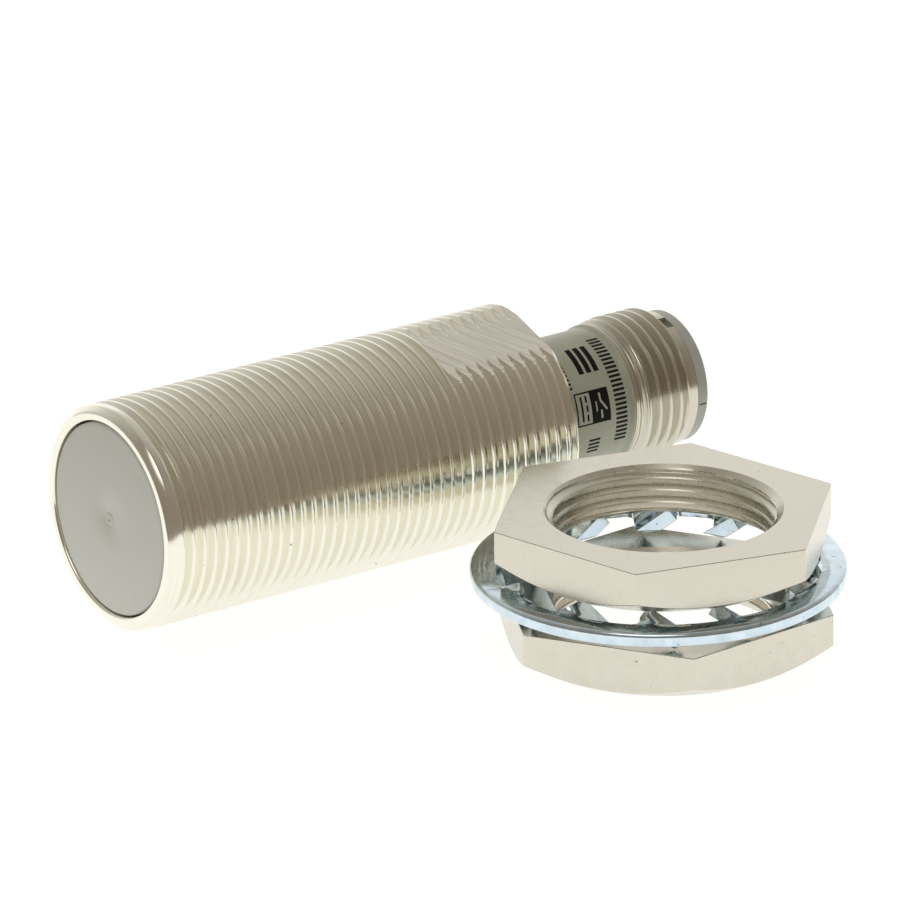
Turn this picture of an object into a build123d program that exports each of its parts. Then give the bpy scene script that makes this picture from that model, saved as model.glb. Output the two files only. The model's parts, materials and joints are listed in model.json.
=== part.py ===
"""M18 inductive proximity sensor with an M12 plug, its two mounting nuts and toothed washer.

Millimetres. X runs along the barrel from the sensing face (x = 0) to the connector, Z is up.
The sensor lies on its side; the nuts and washer are stacked flat on the same floor beside it.
"""
import os
from math import cos, radians, sin, sqrt, tan

from build123d import *

# --- driving dimensions -------------------------------------------------------------------------
THREAD_R = 8.97            # M18x1 crest radius of the barrel
THREAD_PITCH = 1.0
THREAD_DEPTH = 0.61
CREST_LAND = 0.24          # flat left on each crest
ROOT_LAND = 0.16           # flat at the bottom of each groove
BARREL_WALL = 0.61         # from the bottom of the thread to the bore
BARREL_LENGTH = 38.1       # from the sensing face to the rear end of the barrel
RIM = 0.12                 # the barrel's front rim stands this far past the sensing face
RIM_CHAMFER_X = 0.45
RIM_CHAMFER_R = 0.5
FIRST_CREST_X = 1.75
REAR_CHAMFER = 0.35
NECK_GAP = 1.1             # round the neck, where it leaves through the rear lip
REAR_LIP_T = 1.0

FLATS_DEPTH = 0.82         # each of the two wrench flats lies this far below the crests
FLATS_ANGLE = 107.0        # direction of the upper flat's normal, from +Y towards +Z
FLATS_LENGTH = 9.6

FIT = 0.05                 # radial and axial clearance between assembled pieces

CAP_FRONT_T = 0.8
CAP_SKIRT_T = 0.5
CAP_LENGTH = 7.0
DIMPLE_R = 0.6             # gate mark in the middle of the face
DIMPLE_DEPTH = 0.12

CORE_GAP = 0.3             # between the core and the cap's skirt
CORE_T = 5.0
CORE_WALL = 1.2
CORE_POST_R = 3.0
CORE_POST_BORE_R = 1.0
CORE_BACK_T = 1.6
LEAD_SLOT_W = 2.4
BOBBIN_WALL = 0.35
COIL_WIRE_R = 0.13
HOLDER_T = 2.6

BOARD_T = 1.0
BOARD_EDGE = 0.7           # the board's long edges end this far inside the core's radius
BOARD_FRONT_BITE = 1.0     # how far the board reaches into its holder
BOARD_TAIL_EDGE = 0.75     # the tail's edges end this far inside the neck's bore
BOARD_TO_INSERT = 0.8
IC = (5.0, 4.0, 1.5)        # length, width and height of each component
TRANSISTOR = (4.6, 3.5, 1.6)
DIODE = (4.4, 2.7, 2.2)
CAPACITOR = (2.0, 1.25, 1.1)
RESISTOR = (1.6, 0.8, 0.5)
LED = (1.6, 0.9, 0.8)
SHIELD_T = 0.2
SHIELD_GAP = 0.15          # shield to barrel bore

SLEEVE_R = 5.4             # translucent label neck
SLEEVE_WALL = 0.95
SLEEVE_FLANGE_T = 3.2
LIP_H = 0.25
LIP_T = 0.6
NECK_LENGTH = 7.75         # from the barrel to the metal connector

SEAL_WIRE = 0.9            # O-ring section diameter
SEAL_SQUEEZE = 0.1
CONNECTOR_SEAL_W = 0.8     # smaller O-ring round the contact insert
CONNECTOR_SEAL_T = 0.6

SHELL_THREAD_R = 5.92      # M12x1 crest radius
SHELL_THREAD_DEPTH = 0.61
SHELL_WALL = 0.57          # of the smooth rings
SHELL_LENGTH = 6.05
SHELL_FRONT_RING = 0.6     # from the front of the ring to the first crest
SHELL_END_RING = 1.0       # smooth ring behind the thread
SHELL_RING_DROP = 0.5      # the smooth rings lie this far below the crests
KEY_NOTCH_W = 1.3
KEY_NOTCH_DEPTH = 0.75
KEY_ANGLE = 106.0          # from +Y towards +Z; the pins stand 45 degrees either side of it

INSERT_RIM_DROP = 0.12     # the insert's end rim lies this far below the smooth ring
INSERT_RIM_T = 1.05
INSERT_TAIL = 3.65         # length of the insert inside the neck
SOCKET_WALL = 0.6
SOCKET_DEPTH = 6.7

PIN_R = 0.5
PIN_TO_SOCKET = 0.7         # from the pins to the socket's wall
PIN_TAIL = 0.7             # solder tail, which ends just behind the board
PIN_TIP_IN = 1.3           # the tips lie this far inside the socket's mouth
LEAD_R = 0.35

NUT_AF = 24.0
NUT_T = 4.0
NUT_CHAMFER_IN = 0.7       # the 30 degree chamfer starts this far inside the flats
NUT_THREAD_H = 0.51        # height of the nut's thread, from the barrel's crest radius inwards
NUT_GROOVE_MOUTH = 0.42
NUT_GROOVE_BOTTOM = 0.1
NUT_COUNTERSINK = 0.5
UPPER_NUT_TURN = 165.6     # direction of one corner, from +X towards +Y
LOWER_NUT_TURN = 183.9

WASHER_R = 14.5
WASHER_T = 1.15
WASHER_RING_W = 1.9        # width of the plain ring
WASHER_GAP = 1.0           # from the barrel's thread to the tips of the teeth
WASHER_TEETH = 12
TOOTH_W = 3.35
TOOTH_TWIST = 36.0
TOOTH_DIP = 0.35           # the tooth axis sits this far below the ring's mid plane
TOOTH_TURN = 25.5
TOOTH_BEVEL = 1.05         # the teeth's undersides rise by this much towards the tips
TOOTH_BEVEL_W = 2.0

STACK_X = 33.1             # axis of the loose nuts
STACK_GAP = 3.48           # between the barrel and the edge of the washer
WASHER_OFF_X = -0.35       # the washer lies a little off the nuts' axis
WASHER_OFF_Y = 0.2

# --- worked-out places --------------------------------------------------------------------------
FLOOR_Z = -THREAD_R
BARREL_BORE_R = THREAD_R - THREAD_DEPTH - BARREL_WALL
REAR_LIP_R = SLEEVE_R + NECK_GAP
FLAT_DISTANCE = THREAD_R - FLATS_DEPTH
FLATS_FRONT_X = BARREL_LENGTH - FLATS_LENGTH
CAP_R = BARREL_BORE_R - FIT
CAP_BORE_R = CAP_R - CAP_SKIRT_T
CORE_R = CAP_BORE_R - CORE_GAP
CORE_X = CAP_FRONT_T + 2 * FIT
CORE_BACK_X = CORE_X + CORE_T
POCKET_X1 = CORE_BACK_X - CORE_BACK_T          # floor of the core's coil pocket
BOBBIN_IN_R = CORE_POST_R + FIT
BOBBIN_OUT_R = CORE_R - CORE_WALL - FIT
BOBBIN_X0 = CORE_X + FIT
BOBBIN_X1 = POCKET_X1 - FIT
WINDING_IN_R = BOBBIN_IN_R + BOBBIN_WALL
WINDING_OUT_R = BOBBIN_OUT_R - 0.3
COIL_LEAD_R = WINDING_OUT_R - 0.45             # where the coil's leads start
HOLDER_X0 = CORE_BACK_X + FIT
HOLDER_X1 = HOLDER_X0 + HOLDER_T
BOARD_X0 = HOLDER_X1 - BOARD_FRONT_BITE
BOARD_W = 2 * (CORE_R - BOARD_EDGE)
FLANGE_X1 = BARREL_LENGTH - REAR_LIP_T - FIT
FLANGE_X0 = FLANGE_X1 - SLEEVE_FLANGE_T
BOARD_STEP_X = FLANGE_X0 - 0.6                 # where the board narrows to enter the neck
SHIELD_R1 = BARREL_BORE_R - SHIELD_GAP
SHIELD_R0 = SHIELD_R1 - SHIELD_T
SHIELD_X0 = HOLDER_X1 + 0.4
SHIELD_X1 = FLANGE_X0 - 0.3
RESIN_R = SHIELD_R0
SLEEVE_BORE_R = SLEEVE_R - SLEEVE_WALL
LIP_R = SLEEVE_R + LIP_H
NECK_END_X = BARREL_LENGTH + NECK_LENGTH
SHELL_RING_R = SHELL_THREAD_R - SHELL_RING_DROP
SHELL_BORE_R = SHELL_RING_R - SHELL_WALL
SHELL_END_X = NECK_END_X + FIT + SHELL_LENGTH
THREAD_END_X = SHELL_END_X - SHELL_END_RING
INSERT_RIM_R = SHELL_RING_R - INSERT_RIM_DROP
OVERALL_LENGTH = SHELL_END_X + INSERT_RIM_T    # sensing face to the end of the connector insert
SOCKET_R = SHELL_BORE_R - FIT - SOCKET_WALL
SOCKET_FLOOR_X = OVERALL_LENGTH - SOCKET_DEPTH
PIN_CIRCLE_R = SOCKET_R - PIN_TO_SOCKET - PIN_R
INSERT_FRONT_X = NECK_END_X - INSERT_TAIL
PIN_TAIL_X = INSERT_FRONT_X - PIN_TAIL
PIN_TIP_X = OVERALL_LENGTH - PIN_TIP_IN
BOARD_TAIL_W = 2 * (SLEEVE_BORE_R - BOARD_TAIL_EDGE)
BOARD_TAIL_END_X = INSERT_FRONT_X - BOARD_TO_INSERT
NUT_BORE_R = THREAD_R - NUT_THREAD_H
NUT_CHAMFER_R = NUT_AF / 2 - NUT_CHAMFER_IN    # radius of the flat inside the chamfer
WASHER_RING_R = WASHER_R - WASHER_RING_W
WASHER_TIP_R = THREAD_R + WASHER_GAP
STACK_Y = -(THREAD_R + STACK_GAP + WASHER_R)
WASHER_X = STACK_X + WASHER_OFF_X
WASHER_Y = STACK_Y + WASHER_OFF_Y
LOWER_NUT_Z = FLOOR_Z
CONNECTOR_SEAL_X = INSERT_FRONT_X + 1.4
CONNECTOR_GROOVE_R = SLEEVE_BORE_R - CONNECTOR_SEAL_T
TOOTH_HALF_H = TOOTH_W / 2 * sin(radians(TOOTH_TWIST)) + WASHER_T / 2 * cos(radians(TOOTH_TWIST))
TOOTH_Z = LOWER_NUT_Z + NUT_T + TOOTH_HALF_H + 0.005
WASHER_Z = TOOTH_Z + TOOTH_DIP
UPPER_NUT_Z = TOOTH_Z + TOOTH_HALF_H + 0.005


# --- helpers ------------------------------------------------------------------------------------
def tube(r_out, r_in, x0, x1, at=(0, 0)):
    """Round tube (or bar, when r_in is 0) along X."""
    solid = Cylinder(r_out, x1 - x0, align=(Align.CENTER, Align.CENTER, Align.MIN))
    if r_in > 0:
        solid -= Cylinder(r_in, x1 - x0, align=(Align.CENTER, Align.CENTER, Align.MIN))
    return Pos(x0, at[0], at[1]) * Rot(0, 90, 0) * solid


def block(x0, x1, y0, y1, z0, z1):
    """Box between two corners."""
    return Pos(x0, y0, z0) * Box(x1 - x0, y1 - y0, z1 - z0, align=(Align.MIN,) * 3)


def turned_x(outline):
    """Revolve a closed (x, r) outline about the X axis."""
    face = make_face(Polyline(*[(x, r, 0) for x, r in outline], close=True))
    return revolve(face, Axis.X, 360)


def turned_z(outline):
    """Revolve a closed (r, z) outline about the Z axis."""
    face = make_face(Polyline(*[(r, 0, z) for r, z in outline], close=True))
    return revolve(face, Axis.Z, 360)


def ridge_outline(first_crest, last_limit, crest_r, depth):
    """Crest and root points of ring-shaped thread ridges between two X limits."""
    flank = (THREAD_PITCH - CREST_LAND - ROOT_LAND) / 2
    points = []
    x = first_crest
    while x + CREST_LAND / 2 + flank < last_limit:
        points += [(x - CREST_LAND / 2, crest_r), (x + CREST_LAND / 2, crest_r)]
        x += THREAD_PITCH
        if x + CREST_LAND / 2 < last_limit:
            root = x - THREAD_PITCH / 2
            points += [(root - ROOT_LAND / 2, crest_r - depth), (root + ROOT_LAND / 2, crest_r - depth)]
    return points


def bent_wire(radius, points):
    """Round wire through a few points, with both ends running along X."""
    path = Spline(*points, tangents=[(1, 0, 0), (1, 0, 0)])
    start = Plane(origin=path @ 0, z_dir=path % 0)
    return sweep(start * Circle(radius), path)


def spread(lengths, x0, x1):
    """Centres of a row of lengths, with equal gaps between two places."""
    gap = (x1 - x0 - sum(lengths)) / (len(lengths) + 1)
    centres = []
    for length in lengths:
        centres.append(x0 + gap + length / 2)
        x0 += gap + length
    return centres


def round_places(count, radius, start=0.0):
    """Y, Z places on a circle about the X axis."""
    angles = [radians(start + 360 * i / count) for i in range(count)]
    return [(radius * cos(a), radius * sin(a)) for a in angles]


# --- sensor body --------------------------------------------------------------------------------
def make_barrel():
    """Threaded housing: rim, ring-shaped thread ridges, rear lip and two wrench flats."""
    end_x = BARREL_LENGTH
    ridges = ridge_outline(FIRST_CREST_X, end_x - REAR_CHAMFER, THREAD_R, THREAD_DEPTH)
    if ridges[-1][1] < THREAD_R:
        ridges = ridges[:-2]
    start = [(-RIM, BARREL_BORE_R), (-RIM, THREAD_R - RIM_CHAMFER_R)]
    start += [(-RIM + RIM_CHAMFER_X, THREAD_R - 0.06), (FIRST_CREST_X - CREST_LAND - 0.2, THREAD_R - 0.06)]
    finish = [(end_x - REAR_CHAMFER, THREAD_R - 0.12), (end_x, THREAD_R - REAR_CHAMFER - 0.12)]
    finish += [(end_x, REAR_LIP_R), (end_x - REAR_LIP_T, REAR_LIP_R), (end_x - REAR_LIP_T, BARREL_BORE_R)]
    body = turned_x(start + ridges + finish)
    for side in (1, -1):
        cut = block(FLATS_FRONT_X, end_x + 1, -THREAD_R, THREAD_R, FLAT_DISTANCE, FLAT_DISTANCE + 3)
        body -= Rot(FLATS_ANGLE - 90 + (0 if side > 0 else 180), 0, 0) * cut
    return body


def make_face_cap():
    """Plastic cap whose front is the sensing face."""
    cap = tube(CAP_R, 0, 0, CAP_LENGTH) - tube(CAP_BORE_R, 0, CAP_FRONT_T, CAP_LENGTH)
    return cap - tube(DIMPLE_R, 0, 0, DIMPLE_DEPTH)


def lead_slot(x0, x1):
    """Slot that lets the coil leads pass to the rear."""
    return block(x0, x1, -LEAD_SLOT_W / 2, LEAD_SLOT_W / 2, COIL_LEAD_R - 0.9, CORE_R + 1)


def make_core():
    """Ferrite pot core, open towards the sensing face."""
    core = tube(CORE_R, CORE_POST_BORE_R, CORE_X, CORE_BACK_X)
    core -= tube(CORE_R - CORE_WALL, CORE_POST_R, CORE_X, POCKET_X1)
    return core - lead_slot(POCKET_X1 - 0.6, CORE_BACK_X)


def make_bobbin():
    """Coil former with two thin flanges."""
    bobbin = tube(WINDING_IN_R, BOBBIN_IN_R, BOBBIN_X0, BOBBIN_X1)
    bobbin += tube(BOBBIN_OUT_R, BOBBIN_IN_R, BOBBIN_X0, BOBBIN_X0 + BOBBIN_WALL)
    bobbin += tube(BOBBIN_OUT_R, BOBBIN_IN_R, BOBBIN_X1 - BOBBIN_WALL, BOBBIN_X1)
    return bobbin - lead_slot(BOBBIN_X1 - BOBBIN_WALL, BOBBIN_X1)


def make_winding():
    """Copper coil as one solid ring."""
    return tube(WINDING_OUT_R, WINDING_IN_R, BOBBIN_X0 + BOBBIN_WALL, BOBBIN_X1 - BOBBIN_WALL)


def make_coil_leads():
    """Two wires from the coil to the front of the board."""
    x0 = BOBBIN_X1 - BOBBIN_WALL
    z1 = BOARD_T / 2 + COIL_WIRE_R + 0.02
    leads = []
    for y in (-0.6, 0.6):
        points = [(x0, y, COIL_LEAD_R), (x0 + 2.0, y, COIL_LEAD_R)]
        points += [(HOLDER_X1 + 0.6, y, COIL_LEAD_R - 0.5), (HOLDER_X1 + 2.2, y, z1)]
        leads.append(bent_wire(COIL_WIRE_R, points))
    return leads


def make_holder():
    """Plastic disc that backs the core and grips the board."""
    holder = tube(CORE_R, 0, HOLDER_X0, HOLDER_X1) - lead_slot(HOLDER_X0, HOLDER_X1)
    half = BOARD_T / 2 + FIT
    return holder - block(BOARD_X0 - FIT, HOLDER_X1, -BOARD_W / 2, BOARD_W / 2, -half, half)


def make_board():
    """Circuit board with a narrow tail that enters the neck."""
    half = BOARD_T / 2
    board = block(BOARD_X0, BOARD_STEP_X, -BOARD_W / 2 + FIT, BOARD_W / 2 - FIT, -half, half)
    return board + block(BOARD_STEP_X, BOARD_TAIL_END_X, -BOARD_TAIL_W / 2, BOARD_TAIL_W / 2, -half, half)


def on_board(x, y, length, width, height, side=1):
    """Component box sitting on one side of the board."""
    z = BOARD_T / 2
    low, high = (z, z + height) if side > 0 else (-z - height, -z)
    return block(x - length / 2, x + length / 2, y - width / 2, y + width / 2, low, high)


def chip_with_legs(x, y, length, width, height, legs, side=1):
    """Moulded package with flat legs along both sides."""
    part = on_board(x, y, length, width, height, side)
    pitch = length / legs
    for i in range(legs):
        px = x - length / 2 + pitch * (i + 0.5)
        part += on_board(px, y, pitch * 0.4, width + 1.6, height * 0.25, side)
    return part


def make_shield():
    """Thin metal shield round the electronics."""
    return tube(SHIELD_R1, SHIELD_R0, SHIELD_X0, SHIELD_X1)


def make_neck():
    """Translucent rear sleeve: flange inside the barrel, label neck and end lip."""
    neck = tube(BARREL_BORE_R - FIT, 0, FLANGE_X0, FLANGE_X1)
    neck += tube(SLEEVE_R, 0, FLANGE_X1, NECK_END_X)
    neck += tube(LIP_R, 0, NECK_END_X - LIP_T, NECK_END_X)
    neck = fillet(neck.edges().filter_by(GeomType.CIRCLE).sort_by(Axis.X)[-1], 0.2)
    seal = seal_place()
    neck -= tube(BARREL_BORE_R, seal[1], seal[0] - SEAL_WIRE / 2 - 0.1, seal[0] + SEAL_WIRE / 2 + 0.1)
    return neck - tube(SLEEVE_BORE_R, 0, FLANGE_X0, NECK_END_X)


def seal_place():
    """X of the barrel seal and the radius of its groove floor."""
    return (FLANGE_X0 + FLANGE_X1) / 2, BARREL_BORE_R - SEAL_WIRE + SEAL_SQUEEZE


def o_ring(x, r_in, r_out, width):
    """O-ring pressed between two walls: a ring with flattened contact lands."""
    bulge = width * 0.25
    outline = [(x - width / 2, r_in + bulge), (x - width / 2 + bulge, r_in), (x + width / 2 - bulge, r_in)]
    outline += [(x + width / 2, r_in + bulge), (x + width / 2, r_out - bulge)]
    outline += [(x + width / 2 - bulge, r_out), (x - width / 2 + bulge, r_out), (x - width / 2, r_out - bulge)]
    return turned_x(outline)


def make_body_seal():
    """O-ring between the neck's flange and the barrel."""
    x, floor_r = seal_place()
    return o_ring(x, floor_r, BARREL_BORE_R, SEAL_WIRE)


def make_connector_seal():
    """O-ring between the contact insert and the neck."""
    return o_ring(CONNECTOR_SEAL_X, CONNECTOR_GROOVE_R, SLEEVE_BORE_R, CONNECTOR_SEAL_W)


def key_notch(x0, x1, r0, r1, width):
    """Block at the connector's key angle, between two radii."""
    return Rot(KEY_ANGLE, 0, 0) * block(x0, x1, r0, r1, -width / 2, width / 2)


def make_shell():
    """Nickel-plated M12 ring with ring-shaped thread ridges."""
    first = NECK_END_X + FIT + SHELL_FRONT_RING
    ridges = ridge_outline(first, THREAD_END_X + 0.3, SHELL_THREAD_R, SHELL_THREAD_DEPTH)
    if ridges[-1][1] < SHELL_THREAD_R:
        ridges = ridges[:-2]
    start = [(NECK_END_X + FIT, SHELL_BORE_R), (NECK_END_X + FIT, SHELL_RING_R)]
    start += [(first - 0.45, SHELL_RING_R)]
    finish = [(ridges[-1][0] + 0.3, SHELL_RING_R), (SHELL_END_X - 0.12, SHELL_RING_R)]
    finish += [(SHELL_END_X, SHELL_RING_R - 0.12), (SHELL_END_X, SHELL_BORE_R)]
    shell = turned_x(start + ridges + finish)
    return shell - key_notch(SHELL_END_X - KEY_NOTCH_DEPTH, SHELL_END_X, SHELL_BORE_R - 1, 8, KEY_NOTCH_W)


def make_insert():
    """Grey contact carrier: solid tail, socket with a key rib, and the end rim."""
    insert = tube(SLEEVE_BORE_R - FIT, 0, INSERT_FRONT_X, NECK_END_X + FIT)
    insert += tube(SHELL_BORE_R - FIT, 0, NECK_END_X + FIT, SHELL_END_X + FIT)
    insert += tube(INSERT_RIM_R, 0, SHELL_END_X + FIT, OVERALL_LENGTH)
    insert = chamfer(insert.edges().filter_by(GeomType.CIRCLE).sort_by(Axis.X)[-1], 0.15)
    insert -= tube(SOCKET_R, 0, SOCKET_FLOOR_X, OVERALL_LENGTH)
    insert += key_notch(SOCKET_FLOOR_X, OVERALL_LENGTH - 1.2, SOCKET_R - 0.75, SOCKET_R + 0.3, 1.1)
    insert -= tube(SLEEVE_BORE_R + 1, CONNECTOR_GROOVE_R,
                   CONNECTOR_SEAL_X - CONNECTOR_SEAL_W / 2 - 0.05,
                   CONNECTOR_SEAL_X + CONNECTOR_SEAL_W / 2 + 0.05)
    for place in round_places(4, PIN_CIRCLE_R, KEY_ANGLE - 45):
        insert -= tube(PIN_R, 0, INSERT_FRONT_X, SOCKET_FLOOR_X, at=place)
    return insert


def make_pin(place):
    """Gold contact pin with a rounded tip and a thinner solder tail."""
    pin = tube(PIN_R, 0, INSERT_FRONT_X, PIN_TIP_X, at=place)
    pin = fillet(pin.edges().filter_by(GeomType.CIRCLE).sort_by(Axis.X)[-1], 0.35)
    return pin + tube(PIN_R * 0.7, 0, PIN_TAIL_X, INSERT_FRONT_X, at=place)


def make_lead(side):
    """Connecting wire from the board to the upper or lower pin nearest its middle."""
    z_board = side * (BOARD_T / 2 + LEAD_R + FIT)
    y_pin, z_pin = round_places(4, PIN_CIRCLE_R, KEY_ANGLE - 45)[0 if side > 0 else 2]
    points = [(BOARD_TAIL_END_X - 4.8, y_pin, z_board),
              (BOARD_TAIL_END_X - 3.2, y_pin, z_board + side * 0.35),
              (BOARD_TAIL_END_X - 1.6, y_pin, z_pin - side * 0.3),
              (PIN_TAIL_X - 0.01, y_pin, z_pin)]
    return bent_wire(LEAD_R, points)


# --- nuts and washer ----------------------------------------------------------------------------
def make_nut(base_z, turn):
    """M18x1 hexagon nut, chamfered on its lower face only, with ring-shaped thread grooves."""
    corner_r = NUT_AF / 2 / cos(radians(30))
    nut = extrude(RegularPolygon(corner_r, 6), NUT_T)
    drop = (corner_r + 1 - NUT_CHAMFER_R) * tan(radians(30))
    keep = turned_z([(0, 0), (NUT_CHAMFER_R, 0), (corner_r + 1, drop), (corner_r + 1, NUT_T), (0, NUT_T)])
    nut &= keep
    sink_r = NUT_BORE_R + NUT_COUNTERSINK + 0.25
    bore = [(0, -1), (sink_r + 1, -1), (sink_r, 0), (NUT_BORE_R, NUT_COUNTERSINK)]
    z = NUT_COUNTERSINK + THREAD_PITCH / 2
    while z < NUT_T - NUT_COUNTERSINK:
        bore += [(NUT_BORE_R, z - NUT_GROOVE_MOUTH / 2), (THREAD_R + 0.03, z - NUT_GROOVE_BOTTOM / 2)]
        bore += [(THREAD_R + 0.03, z + NUT_GROOVE_BOTTOM / 2), (NUT_BORE_R, z + NUT_GROOVE_MOUTH / 2)]
        z += THREAD_PITCH
    bore += [(NUT_BORE_R, NUT_T - NUT_COUNTERSINK), (sink_r, NUT_T), (sink_r + 1, NUT_T + 1), (0, NUT_T + 1)]
    nut -= turned_z(bore)
    return Pos(STACK_X, STACK_Y, base_z) * Rot(0, 0, turn) * nut


def make_washer():
    """Internal-tooth lock washer with twisted teeth."""
    half = WASHER_T / 2
    edge = 0.3
    outline = [(WASHER_RING_R, -half), (WASHER_R - edge, -half), (WASHER_R, -half + edge)]
    outline += [(WASHER_R, half - edge), (WASHER_R - edge, half), (WASHER_RING_R, half)]
    washer = turned_z(outline)
    length = WASHER_RING_R - WASHER_TIP_R + 0.6
    for i in range(WASHER_TEETH):
        tooth = Box(length, TOOTH_W, WASHER_T, align=(Align.MIN, Align.CENTER, Align.CENTER))
        tooth = Pos(WASHER_TIP_R, 0, -TOOTH_DIP) * Rot(-TOOTH_TWIST, 0, 0) * tooth
        washer += Rot(0, 0, TOOTH_TURN + 360 * i / WASHER_TEETH) * tooth
    washer -= Cylinder(WASHER_TIP_R, 6)
    low = -TOOTH_DIP - TOOTH_HALF_H
    bevel = [(WASHER_TIP_R - 1, low - 1), (WASHER_TIP_R + TOOTH_BEVEL_W, low - 1)]
    bevel += [(WASHER_TIP_R + TOOTH_BEVEL_W, low), (WASHER_TIP_R, low + TOOTH_BEVEL)]
    washer -= turned_z(bevel + [(WASHER_TIP_R - 1, low + TOOTH_BEVEL)])
    return Pos(WASHER_X, WASHER_Y, WASHER_Z) * washer


# --- assembly -----------------------------------------------------------------------------------
def make_parts():
    """Every node of the row, by name."""
    pins = [make_pin(place) for place in round_places(4, PIN_CIRCLE_R, KEY_ANGLE - 45)]
    y_led = BOARD_TAIL_W / 2 - 1.3
    y_cap = BOARD_W / 2 - 2.0
    y_res = BOARD_W / 2 - 3.2
    first = HOLDER_X1 + 2.0
    top = spread([CAPACITOR[0], CAPACITOR[0], IC[0], TRANSISTOR[0], RESISTOR[0]], first, BOARD_STEP_X)
    low = spread([RESISTOR[0]] * 3 + [DIODE[0], CAPACITOR[0]], first, BOARD_STEP_X)
    leds = [on_board(BOARD_TAIL_END_X - 1.1, y, *LED, s) for y in (-y_led, y_led) for s in (1, -1)]
    capacitors = [on_board(x, y, *CAPACITOR, 1) for x in top[:2] for y in (-y_cap, y_cap)]
    capacitors += [on_board(low[4], y, *CAPACITOR, -1) for y in (-y_cap, y_cap)]
    resistors = [on_board(x, y, *RESISTOR, -1) for x in low[:3] for y in (-y_res, 0, y_res)]
    resistors += [on_board(top[4], y, *RESISTOR, 1) for y in (-y_res, y_res)]
    parts = {
        "barrel": make_barrel(),
        "sensing_face_cap": make_face_cap(),
        "ferrite_core": make_core(),
        "coil_bobbin": make_bobbin(),
        "coil_winding": make_winding(),
        "coil_leads": make_coil_leads(),
        "core_holder": make_holder(),
        "circuit_board": make_board(),
        "sensor_ic": chip_with_legs(top[2], 0, *IC, 4),
        "output_transistor": chip_with_legs(top[3], 0, *TRANSISTOR, 3),
        "surge_diode": on_board(low[3], 0, *DIODE, -1),
        "chip_capacitors": capacitors,
        "chip_resistors": resistors,
        "indicator_leds": leds,
        "shield_sleeve": make_shield(),
        "neck_sleeve": make_neck(),
        "body_seal": make_body_seal(),
        "connector_seal": make_connector_seal(),
        "connector_shell": make_shell(),
        "contact_insert": make_insert(),
        "contact_pin_1": pins[0],
        "contact_pin_2": pins[1],
        "contact_pin_3": pins[2],
        "contact_pin_4": pins[3],
        "lead_wire_brown": make_lead(1),
        "lead_wire_blue": make_lead(-1),
        "lower_nut": make_nut(LOWER_NUT_Z, LOWER_NUT_TURN),
        "toothed_washer": make_washer(),
        "upper_nut": make_nut(UPPER_NUT_Z, UPPER_NUT_TURN),
    }
    parts["potting_resin"] = make_resin(parts)
    return parts


def make_resin(parts):
    """Cast resin that fills the shield round the board and its components."""
    resin = tube(RESIN_R, 0, SHIELD_X0, SHIELD_X1)
    inside = ["circuit_board", "sensor_ic", "output_transistor", "surge_diode", "coil_leads"]
    inside += ["chip_capacitors", "chip_resistors"]
    for name in inside:
        solids = parts[name] if isinstance(parts[name], list) else [parts[name]]
        for solid in solids:
            resin -= solid
    return resin


def main():
    os.makedirs("parts", exist_ok=True)
    for name, part in make_parts().items():
        shape = Compound(children=part) if isinstance(part, list) else part
        export_step(shape, f"parts/{name}.step")
        print(f"{name:20s} volume {shape.volume:10.3f}  solids {len(shape.solids())}")


main()
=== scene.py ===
"""Looks of the M18 proximity sensor: helical threads, turned and milled nickel, neck marks, washer teeth."""
import json
import math

import bmesh
import bpy
import numpy as np
from mathutils import Matrix, Vector


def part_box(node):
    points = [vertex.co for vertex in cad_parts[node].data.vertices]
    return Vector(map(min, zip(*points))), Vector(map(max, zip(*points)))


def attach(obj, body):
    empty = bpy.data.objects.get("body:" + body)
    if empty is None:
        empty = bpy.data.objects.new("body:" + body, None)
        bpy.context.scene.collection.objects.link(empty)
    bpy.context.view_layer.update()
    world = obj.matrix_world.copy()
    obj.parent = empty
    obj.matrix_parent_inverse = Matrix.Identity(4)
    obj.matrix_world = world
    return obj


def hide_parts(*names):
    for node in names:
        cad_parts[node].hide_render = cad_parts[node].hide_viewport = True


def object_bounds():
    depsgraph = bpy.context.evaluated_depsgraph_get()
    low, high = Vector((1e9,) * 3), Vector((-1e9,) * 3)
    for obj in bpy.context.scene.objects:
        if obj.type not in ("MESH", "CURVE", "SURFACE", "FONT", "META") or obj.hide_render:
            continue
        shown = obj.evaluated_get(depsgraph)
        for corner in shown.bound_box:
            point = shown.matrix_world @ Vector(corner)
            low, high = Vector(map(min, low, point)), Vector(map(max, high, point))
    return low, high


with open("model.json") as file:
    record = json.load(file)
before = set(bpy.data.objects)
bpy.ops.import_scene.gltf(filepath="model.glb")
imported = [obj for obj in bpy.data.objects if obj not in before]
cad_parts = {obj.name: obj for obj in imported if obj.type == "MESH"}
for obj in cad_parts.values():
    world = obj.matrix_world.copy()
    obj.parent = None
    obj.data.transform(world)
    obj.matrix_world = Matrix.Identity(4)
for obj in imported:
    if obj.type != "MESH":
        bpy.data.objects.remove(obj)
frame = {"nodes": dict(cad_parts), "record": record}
cad_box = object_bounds()

MM = 0.001
TAU = 2 * math.pi

# --- places from the frame ----------------------------------------------------------------------
MOUNTS = {m["name"]: m for m in frame["record"]["mounts"]}
BARREL_LO, BARREL_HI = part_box("barrel")
SHELL_LO, SHELL_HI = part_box("connector_shell")
NECK_LO, NECK_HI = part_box("neck_sleeve")
CAP_LO, CAP_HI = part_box("sensing_face_cap")
INSERT_LO, INSERT_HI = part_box("contact_insert")
WASHER_LO, WASHER_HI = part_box("toothed_washer")
CREST_R = MOUNTS["barrel_thread"]["dims"]["r_mm"] * MM
PLUG_CREST_R = MOUNTS["connector_thread"]["dims"]["r_mm"] * MM
NUT_BORE_R = MOUNTS["upper_nut_thread"]["dims"]["r_mm"] * MM
FLOOR_Z = cad_box[0].z

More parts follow.
